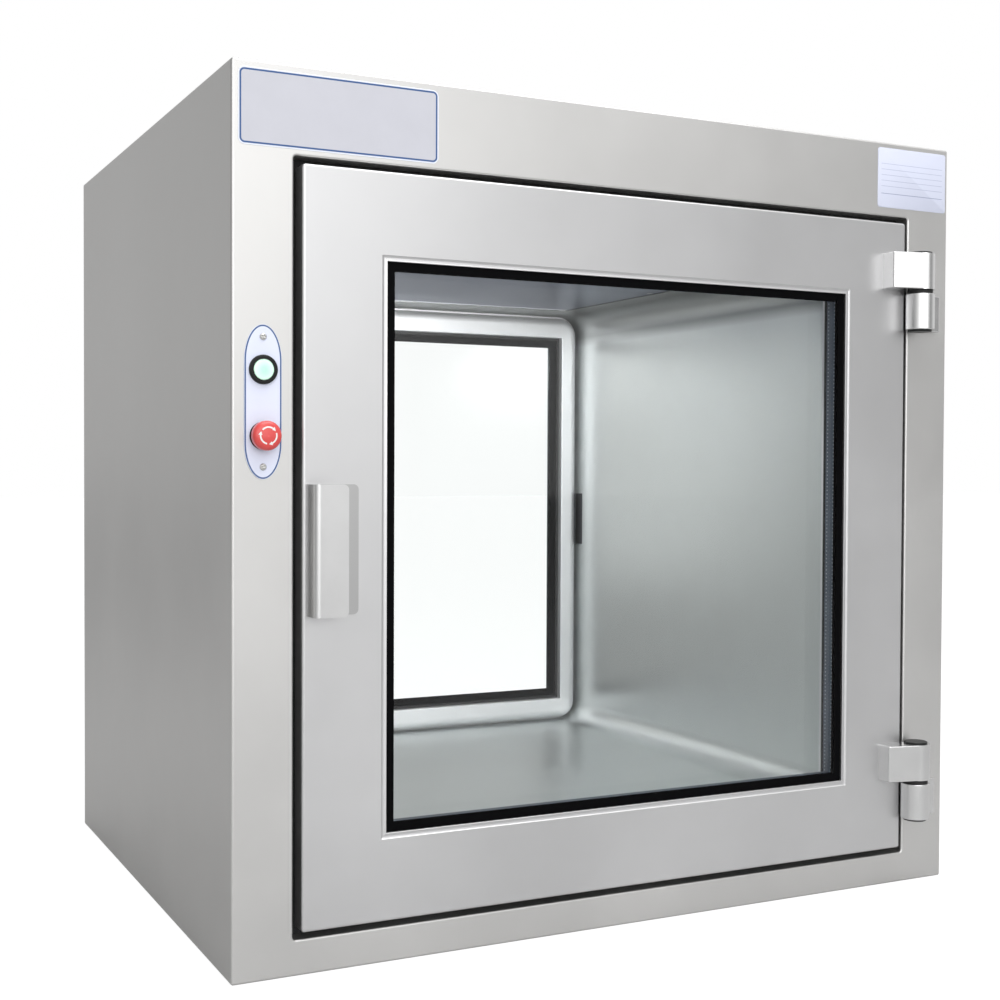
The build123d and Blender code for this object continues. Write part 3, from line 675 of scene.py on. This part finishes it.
def twistArrows(side):
    # three curved arrows that follow the knob's shallow dome; side is 1 in front and -1 behind
    low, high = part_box("front_estop_head")
    middleX, middleZ, top = (low.x + high.x) / 2, (low.z + high.z) / 2, low.y
    ball = (twistMarks["domeRadius"] ** 2 + twistMarks["domeRise"] ** 2) / (2 * twistMarks["domeRise"])

    def build(shape):
        def point(radius, angle, lift):
            y = top + radius ** 2 / (2 * ball) - lift
            x = middleX + radius * math.cos(math.radians(angle))
            return shape.verts.new((side * x, side * y, middleZ + radius * math.sin(math.radians(angle))))

        for mark in range(twistMarks["count"]):
            rings = []
            for angle, inner, outer in arrowStations(twistMarks["start"] + mark * 360 / twistMarks["count"]):
                section = [(inner, -twistMarks["sunk"]), (outer, -twistMarks["sunk"]),
                           (outer, twistMarks["proud"]), (inner, twistMarks["proud"])]
                rings.append([point(radius, angle, lift) for radius, lift in section])
            joinRings(shape, rings)
            shape.faces.new(rings[0][::-1])
            shape.faces.new(rings[-1])
    return build


def markWhite():
    paint = Paint("markWhite")
    worn = paint.noise(400.0, 2.0, 0.6)
    return paint.finish({
        "Base Color": paint.mottle(worn, twistMarks["colour"], 0.92, 1.05),
        "Roughness": worn * twistMarks["wear"] + twistMarks["roughness"]})


white = markWhite()
for side, sideName in ((1, "front"), (-1, "rear")):
    addPiece(sideName + "TwistArrows", twistArrows(side), white, sideName + "_estop_knob")


plateScrew = {
    "headRadius": 0.00325, "shankRadius": 0.0015, "headHeight": 0.0018, "length": 0.0080, "rings": 12,
    "spokes": 48, "slotHalf": 0.00045, "slotReach": 0.0019, "slotDepth": 0.0012,
    "rounding": 0.75,          # share of the head's height that is gone at its rim
    "slotRise": 0.6,           # share of the recess's depth that is gone at its end
    "slotTurn": 20,
}


def headHeight(share, angle):
    # height of the pan head over its seat at a share of its radius, less in the cross recess
    size = plateScrew
    turned = angle + math.radians(size["slotTurn"])
    radius = size["headRadius"] * share
    near, reach = sorted([abs(radius * math.cos(turned)), abs(radius * math.sin(turned))])
    rise = size["headHeight"] * (1 - size["rounding"] * share ** 4)
    if near < size["slotHalf"] and reach < size["slotReach"]:
        rise -= size["slotDepth"] * (1 - size["slotRise"] * reach / size["slotReach"])
    return rise


def screwRings():
    # radius, turn and depth of the points, from the middle of the head outwards and then down the shank
    size = plateScrew
    turns = [2 * math.pi * spoke / size["spokes"] for spoke in range(size["spokes"])]
    rings = []
    for ring in range(size["rings"] + 1):
        share = ring / size["rings"]
        rings.append([(size["headRadius"] * share, turn, -headHeight(share, turn))
                      for turn in (turns if ring else turns[:1])])
    for radius, depth in ((size["headRadius"], 0.0), (size["shankRadius"], 0.0),
                          (size["shankRadius"], size["length"])):
        rings.append([(radius, turn, depth) for turn in turns])
    return rings


def crossScrews(shape):
    # pan heads with a cross recess, two in each control plate
    low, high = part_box("control_plate_screws")
    radius = plateScrew["headRadius"]
    far, seat = high.x - radius, low.y + plateScrew["headHeight"]
    for side in (1, -1):
        for middleZ in (low.z + radius, high.z - radius):
            rings = [[shape.verts.new((side * (r * math.cos(turn) - far), side * (seat + depth),
                                       middleZ + r * math.sin(turn))) for r, turn, depth in ring]
                     for ring in screwRings()]
            for here, following in zip(rings[1], rings[1][1:] + rings[1][:1]):
                shape.faces.new((rings[0][0], here, following))
            joinRings(shape, rings[1:])
            shape.faces.new(rings[-1])


screws = addPiece("crossScrews", crossScrews, slotPaint["screw_steel"], "cabinet")
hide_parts("control_plate_screws")
print("controls done")


# floor, light and camera
studio = {
    "cameraPlace": (-0.79234, -1.61892, 0.46721),
    "cameraTurn": (88.728, -0.2463, -26.5855),
    "lens": 53.13,
    "sensor": 36.0,
    "nearClip": 0.01,
    "floorSize": 40.0,
    "floorColour": (0.52, 0.52, 0.52),
    "floorWhite": 1.45,        # own brightness of the open floor where the camera sees it
    "floorShare": 0.62,
    # level of the room by compass bearing in degrees, 0 in front and 90 on the right
    "lightTop": 3.2,
    "roundLevels": {-180: 0.72, -160: 0.62, -140: 0.22, -120: 0.22, -100: 0.35, -80: 0.50, -60: 0.95,
                    -40: 1.85, -20: 2.85, 0: 3.05, 20: 1.40, 40: 0.30, 60: 0.45, 80: 0.85, 100: 0.80,
                    120: 0.55, 140: 0.46, 160: 0.60, 180: 0.72},
    "highLevels": {-180: 0.35, -90: 0.40, 0: 1.10, 90: 0.90, 180: 0.35},
    "highFrom": 0.25, "highTo": 0.75,
    "lamps": {
        "overhead": {"place": (0.15, -0.8, 3.0), "aim": (0.05, -0.4, 0.2), "size": (2.5, 2.5), "power": 60},
        "chamberFill": {"place": (-0.02, -0.20, 0.655), "aim": (0.08, 0.32, 0.41), "size": (0.40, 0.12),
                        "power": 3.1},
        "rearFill": {"place": (-0.20, 0.78, 0.50), "aim": (0.25, 0.0, 0.40), "size": (0.40, 0.50),
                     "power": 0.65},
    },
}


def makeCamera():
    lens = bpy.data.cameras.new("studioCamera")
    lens.lens, lens.sensor_width, lens.sensor_fit = studio["lens"], studio["sensor"], "HORIZONTAL"
    lens.clip_start = studio["nearClip"]
    camera = bpy.data.objects.new("studioCamera", lens)
    camera.location = studio["cameraPlace"]
    camera.rotation_euler = [math.radians(angle) for angle in studio["cameraTurn"]]
    bpy.context.scene.collection.objects.link(camera)
    bpy.context.scene.camera = camera


def makeFloor():
    mesh = bpy.data.meshes.new("floor")
    half = studio["floorSize"] / 2
    mesh.from_pydata([(-half, -half, 0), (half, -half, 0), (half, half, 0), (-half, half, 0)], [],
                     [(0, 1, 2, 3)])
    floor = bpy.data.objects.new("floor", mesh)
    bpy.context.scene.collection.objects.link(floor)
    paint = Paint("floorWhite")
    paths = paint.node("ShaderNodeLightPath").outputs
    seen = Wire(paint, paths["Is Camera Ray"])
    plain = paint.node("ShaderNodeBsdfDiffuse", values={"Color": rgb(*studio["floorColour"])})
    lift = paint.node("ShaderNodeEmission", values={"Color": rgb(1, 1, 1), "Strength": studio["floorWhite"]})
    paint.close(paint.node("ShaderNodeMixShader", values={
        0: seen * studio["floorShare"], 1: plain.outputs[0], 2: lift.outputs[0]}))
    mesh.materials.append(paint.block)


def bearingStops(levels):
    top = studio["lightTop"]
    return [((bearing + 180) / 360, rgb(level / top, level / top, level / top))
            for bearing, level in sorted(levels.items())]


def makeWorld():
    # white behind the object; metal sees a soft room with its windows in front of the cabinet
    paint = Paint("studioWorld", world=True)
    paths = paint.node("ShaderNodeLightPath").outputs
    seen = (Wire(paint, paths["Is Camera Ray"]) + Wire(paint, paths["Is Transmission Ray"])).smaller(1.0)
    x, y, z = paint.split(paint.node("ShaderNodeTexCoord").outputs["Generated"])
    bearing = x.angleFrom(y * -1.0) / (2 * math.pi) + 0.5
    low, high = [Wire(paint, paint.node("ShaderNodeValToRGB", {"stops": bearingStops(studio[levels])},
                                        {"Fac": bearing}).outputs[0], True)
                 for levels in ("roundLevels", "highLevels")]
    room = paint.blend(paint.fade(z, studio["highFrom"], studio["highTo"]), low, high)
    top = studio["lightTop"]
    colour = paint.blend(seen, room * (top, top, top), rgb(1.0, 1.0, 1.0))
    paint.close(paint.node("ShaderNodeBackground", values={"Color": colour, "Strength": 1.0}))
    bpy.context.scene.world = paint.block


def makeLamp(name, place, aim, size, power):
    light = bpy.data.lights.new(name, "AREA")
    light.shape, light.size, light.size_y, light.energy = "RECTANGLE", size[0], size[1], power
    lamp = bpy.data.objects.new(name, light)
    lamp.location = place
    direction = [a - b for a, b in zip(aim, place)]
    length = math.hypot(*direction)
    yaw = math.atan2(direction[0], -direction[1])
    lamp.rotation_euler = (math.acos(-direction[2] / length), 0, yaw + math.pi)
    lamp.visible_camera = False
    bpy.context.scene.collection.objects.link(lamp)


makeFloor()
makeWorld()
makeCamera()
for lampName, lamp in studio["lamps"].items():
    makeLamp(lampName, lamp["place"], lamp["aim"], lamp["size"], lamp["power"])
bpy.context.scene.view_settings.view_transform = "Standard"
print("studio done")
